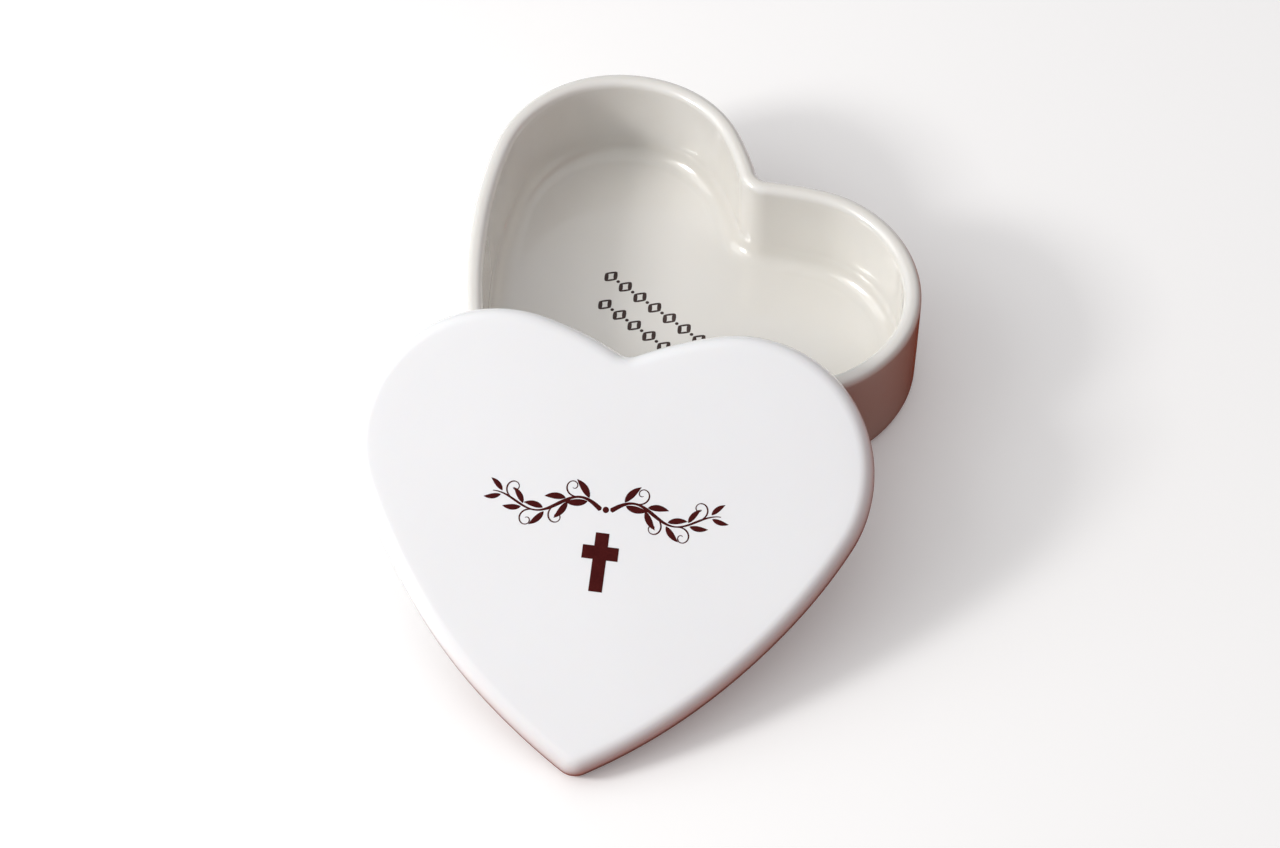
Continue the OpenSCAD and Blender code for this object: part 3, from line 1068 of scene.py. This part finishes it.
@dataclass(frozen=True)
class SoftBox:
    """A square light: its name, where it stands, what it points at, its side and its power."""

    name: str
    stand: tuple[float, float, float]
    side: float
    power: float
    colour: Colour = WHITE
    aim: tuple[float, float, float] = (0.02, -0.02, 0)

    def build(self) -> None:
        """Makes the light, turned towards its aim."""
        lamp = bpy.data.lights.new(self.name, "AREA")
        lamp.shape = "SQUARE"
        lamp.size = self.side
        lamp.energy = self.power
        lamp.color = self.colour
        made = bpy.data.objects.new(self.name, lamp)
        made.location = self.stand
        way = Vector(self.aim) - Vector(self.stand)
        made.rotation_euler = way.to_track_quat("-Z", "Y").to_euler()
        bpy.context.scene.collection.objects.link(made)


@dataclass(frozen=True)
class Studio:
    """A pale floor, soft light from the left, a pale sky and the camera.

    The glaze mirrors a dark warm table top on the right. The table is only a tone, of the floor
    there and of the low sky behind it, and the camera itself sees the pale floor.
    """

    floor_half: float = 3.0
    floor_drop: float = 0.05 * MM
    floor_colour: Colour = (0.95, 0.95, 0.955)
    floor_dim: float = 0.985
    floor_glow: float = 0.1
    floor_rough: float = 0.9
    floor_shine: float = 0.1
    floor_grain: float = 3
    sky_low: float = 0.3
    sky_high: float = 0.74
    table_tone: Colour = (0.27, 0.05, 0.02)
    table_from: float = -0.01
    table_full: float = 0.05
    table_way: tuple[float, float, float] = (0.9, 0.35, -0.25)
    table_spread: tuple[float, float] = (0.3, 0.7)
    stand: tuple[float, float, float] = (0.3194, -0.3271, 0.6046)
    aim: tuple[float, float, float] = (0.019, -0.0193, 0.0)
    roll: float = -0.025
    sensor: float = 36
    lens: float = 78.8
    shift: tuple[float, float] = (-0.0063, 0.0086)
    lights: tuple[SoftBox, ...] = (
        SoftBox("window", (-0.43, -0.72, 0.54), 0.2, 4.4, (1, 0.99, 0.97)),
        SoftBox("bounce_wall", (-0.72, -0.83, 0.75), 1.1, 5.4, (1, 0.99, 0.98)),
    )

    def floor(self) -> None:
        """A wide level sheet with a faint unevenness of tone."""
        corners = self.floor_half * np.array([[-1, -1], [1, -1], [1, 1], [-1, 1]])
        mesh = bpy.data.meshes.new("studio_floor")
        points = np.concatenate([corners, np.full((4, 1), -self.floor_drop)], 1)
        mesh.from_pydata(points.tolist(), [], [(0, 1, 2, 3)])
        material, g, shader = new_material("studio_paper")
        place = g.node("ShaderNodeTexCoord").outputs["Object"]
        dim = tuple(self.floor_dim * c for c in self.floor_colour)
        paper = g.mix(g.noise(place, self.floor_grain, 1), self.floor_colour, dim)
        apart = g.node("ShaderNodeSeparateXYZ")
        g.join(place, apart.inputs["Vector"])
        path = g.node("ShaderNodeLightPath")
        unseen = g.math("SUBTRACT", 1.0, path.outputs["Is Camera Ray"])
        share = g.math("MULTIPLY", unseen, g.ramp(apart.outputs["X"], self.table_from, self.table_full))
        g.join(g.mix(share, paper, self.table_tone), shader.inputs["Base Color"])
        shader.inputs["Roughness"].default_value = self.floor_rough
        shader.inputs["Specular IOR Level"].default_value = self.floor_shine
        shader.inputs["Emission Color"].default_value = (*WHITE, 1)
        seen = g.math("MULTIPLY", path.outputs["Is Camera Ray"], self.floor_glow)
        g.join(seen, shader.inputs["Emission Strength"])
        mesh.materials.append(material)
        made = bpy.data.objects.new("studio_floor", mesh)
        bpy.context.scene.collection.objects.link(made)
        made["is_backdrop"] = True

    def world(self) -> None:
        """A pale sky that grows brighter from the horizon to overhead, and warm and dark over the table."""
        world = bpy.data.worlds.new("studio_sky")
        world.use_nodes = True
        g = Graph(world.node_tree)
        background = world.node_tree.nodes["Background"]
        way = g.node("ShaderNodeTexCoord").outputs["Generated"]
        apart = g.node("ShaderNodeSeparateXYZ")
        g.join(way, apart.inputs["Vector"])
        facing = g.node("ShaderNodeVectorMath", operation="DOT_PRODUCT")
        g.join(way, facing.inputs[0])
        facing.inputs[1].default_value = Vector(self.table_way).normalized()
        share = g.ramp(facing.outputs["Value"], *self.table_spread)
        g.join(g.mix(share, WHITE, self.table_tone), background.inputs["Color"])
        strength = g.ramp(apart.outputs["Z"], 0, 1, (self.sky_low, self.sky_high))
        g.join(strength, background.inputs["Strength"])
        bpy.context.scene.world = world
        bpy.context.scene.view_settings.view_transform = "Standard"

    def camera(self) -> None:
        """The camera, turned to its aim and rolled a little about its own axis."""
        data = bpy.data.cameras.new("camera")
        data.lens = self.lens
        data.sensor_width = self.sensor
        data.shift_x, data.shift_y = self.shift
        ahead = (Vector(self.aim) - Vector(self.stand)).normalized()
        right = ahead.cross(Vector((0, 0, 1))).normalized()
        above = right.cross(ahead)
        turned = right * math.cos(self.roll) + above * math.sin(self.roll)
        above = turned.cross(ahead)
        turn = Matrix((turned, above, -ahead)).transposed().to_4x4()
        made = bpy.data.objects.new("camera", data)
        made.matrix_world = Matrix.Translation(self.stand) @ turn
        bpy.context.scene.collection.objects.link(made)
        bpy.context.scene.camera = made

    def build(self) -> None:
        """Makes the floor, the sky, the lights and the camera."""
        self.floor()
        self.world()
        for light in self.lights:
            light.build()
        self.camera()


def write_sizes() -> None:
    """Works out the CAD box and the visual model's box as plain lists, and keeps neither."""
    boxes = {"cad": CAD_BOX, "visual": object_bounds()}
    {name: [list(corner) for corner in box] for name, box in boxes.items()}


def main() -> None:
    """Builds the base and the lid in their finishes, then the studio round them."""
    logging.basicConfig(level=logging.INFO, format="%(name)s: %(message)s")
    finishes = {f.slot: f.material() for f in FINISHES}
    low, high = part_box("base")
    outline = HeartOutline(high.x - low.x, -2 * low.y, shoulder_at=25.5, notch_r=4 * MM)
    plate = replace(outline, shoulder_at=14, notch_r=5 * MM)
    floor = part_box("floor_ornament")[0].z
    BoxBase(outline, high.z, floor, finishes).build()
    LeaningLid(plate, outline, finishes).build()
    Studio().build()
    write_sizes()


if __name__ == "__main__":
    main()
